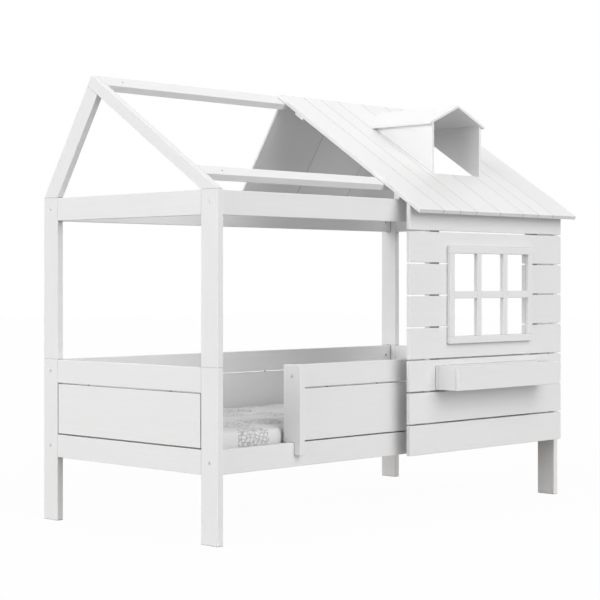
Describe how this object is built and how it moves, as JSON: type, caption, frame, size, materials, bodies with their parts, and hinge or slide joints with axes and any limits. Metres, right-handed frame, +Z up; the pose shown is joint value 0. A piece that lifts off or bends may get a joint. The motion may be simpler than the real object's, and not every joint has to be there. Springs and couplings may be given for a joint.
{
  "type": "house frame bed",
  "caption": "Single bed for a child in a white wooden house frame, with a guard rail, half clad as a small house with a plank roof, dormer, window and planter box; the mattress is included.",
  "frame": {"origin": "the middle of the footprint, on the floor", "axes": "+X runs along the bed from the open end to the clad end, +Y from the front (entrance, facade and planter) to the back, +Z up"},
  "size_m": [2.07, 1.189, 1.7551],
  "materials": {
    "white_frame": "solid wood boards with a white satin lacquer",
    "white_cladding": "thinner boards and panels with a white satin lacquer",
    "slat_pine": "bare planed pine",
    "dowel_beech": "fluted beech dowels",
    "zinc_steel": "zinc-plated steel",
    "mattress_cover": "pale quilted cover over foam"
  },
  "bodies": {
    "root": {"back_panel": "white_frame", "back_rafter_left": "white_frame", "back_rafter_right": "white_frame", "back_roof_sheets": "white_cladding", "back_side_rail": "white_frame", "back_top_rail": "white_frame", "back_upper_rail": "white_frame", "connector_bolts": "zinc_steel", "dormer_cheeks": "white_cladding", "dormer_roof": "white_cladding", "dowel_pins": "dowel_beech", "eave_plate": "white_frame", "end_bottom_rail_left": "white_frame", "end_bottom_rail_right": "white_frame", "end_panel_left": "white_frame", "end_panel_right": "white_frame", "end_top_rail_left": "white_frame", "end_top_rail_right": "white_frame", "facade_battens": "white_cladding", "facade_board_over_window": "white_cladding", "facade_board_top": "white_cladding", "facade_board_under_window": "white_cladding", "facade_boards_beside_window": "white_cladding", "facade_boards_lower": "white_cladding", "facade_spacers": "white_cladding", "front_purlin": "white_frame", "front_rafter_left": "white_frame", "front_rafter_right": "white_frame", "front_side_rail": "white_frame", "front_upper_rail": "white_frame", "guard_panel": "white_frame", "guard_post": "white_frame", "guard_top_rail": "white_frame", "lower_post_back_left": "white_frame", "lower_post_back_right": "white_frame", "lower_post_front_left": "white_frame", "lower_post_front_right": "white_frame", "mattress": "mattress_cover", "planter_box": "white_cladding", "ridge_beam": "white_frame", "roof_board_1": "white_cladding", "roof_board_2": "white_cladding", "roof_board_3": "white_cladding", "roof_board_4": "white_cladding", "roof_board_5": "white_cladding", "roof_board_6": "white_cladding", "roof_board_7": "white_cladding", "roof_board_8": "white_cladding", "roof_cross_batten": "white_cladding", "slat_ledges": "slat_pine", "slats": "slat_pine", "upper_end_rail_left": "white_frame", "upper_end_rail_right": "white_frame", "upper_post_back_left": "white_frame", "upper_post_back_right": "white_frame", "upper_post_front_left": "white_frame", "upper_post_front_right": "white_frame", "window_bars": "white_cladding", "window_frame": "white_cladding", "wood_screws": "zinc_steel"}
  },
  "joints": []
}
